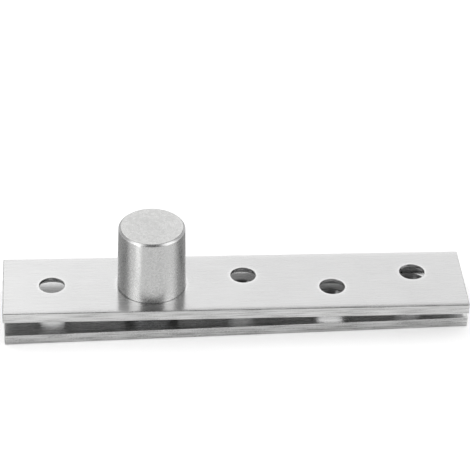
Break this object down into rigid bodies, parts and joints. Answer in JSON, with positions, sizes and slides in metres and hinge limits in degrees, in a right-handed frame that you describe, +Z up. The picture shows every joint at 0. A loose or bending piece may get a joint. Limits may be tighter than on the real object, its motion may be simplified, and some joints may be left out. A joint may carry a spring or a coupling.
{
  "type": "pivot hinge",
  "caption": "Concealed pivot hinge for a door: two slim flat leaves, one over the other, turn about a closed barrel that is let into the door.",
  "frame": {"origin": "where the pivot axis meets the upper leaf's outer face, at the foot of the barrel", "axes": "+Z up along the pivot axis, out of the barrel's closed end; +X along the upper leaf, towards its long side; the lower leaf is turned 1.8 degrees about +Z at rest"},
  "size_m": [0.1006, 0.0231, 0.0225],
  "materials": {
    "brushed_stainless": "brushed lengthwise",
    "turned_stainless": "fine turned",
    "shaft_steel": "ground",
    "bearing_steel": "ground and lightly oiled",
    "ball_steel": "polished",
    "spring_steel": "oiled dark",
    "bronze": "sintered",
    "cage_steel": "pressed and oiled dark"
  },
  "bodies": {
    "lower_leaf": {"lower_plate": "brushed_stainless", "pivot_shaft": "shaft_steel", "lower_race": "bearing_steel", "retaining_ring": "spring_steel"},
    "upper_leaf": {"upper_plate": "brushed_stainless", "barrel": "turned_stainless", "bush": "bronze", "upper_race": "bearing_steel"},
    "ball_set": {"ball_cage": "cage_steel", "ball_1": "ball_steel", "ball_2": "ball_steel", "ball_3": "ball_steel", "ball_4": "ball_steel", "ball_5": "ball_steel", "ball_6": "ball_steel", "ball_7": "ball_steel", "ball_8": "ball_steel", "ball_9": "ball_steel"}
  },
  "joints": [
    {"name": "leaf_swing", "type": "hinge", "parent": "lower_leaf", "child": "upper_leaf", "pos_m": [0, 0, 0], "axis": [0, 0, 1], "continuous": true},
    {"name": "ball_orbit", "type": "hinge", "parent": "lower_leaf", "child": "ball_set", "pos_m": [0, 0, -0.00375], "axis": [0, 0, 1], "continuous": true}
  ],
  "couplings": [
    {"joint": "ball_orbit", "follows": "leaf_swing", "ratio": 0.5}
  ]
}
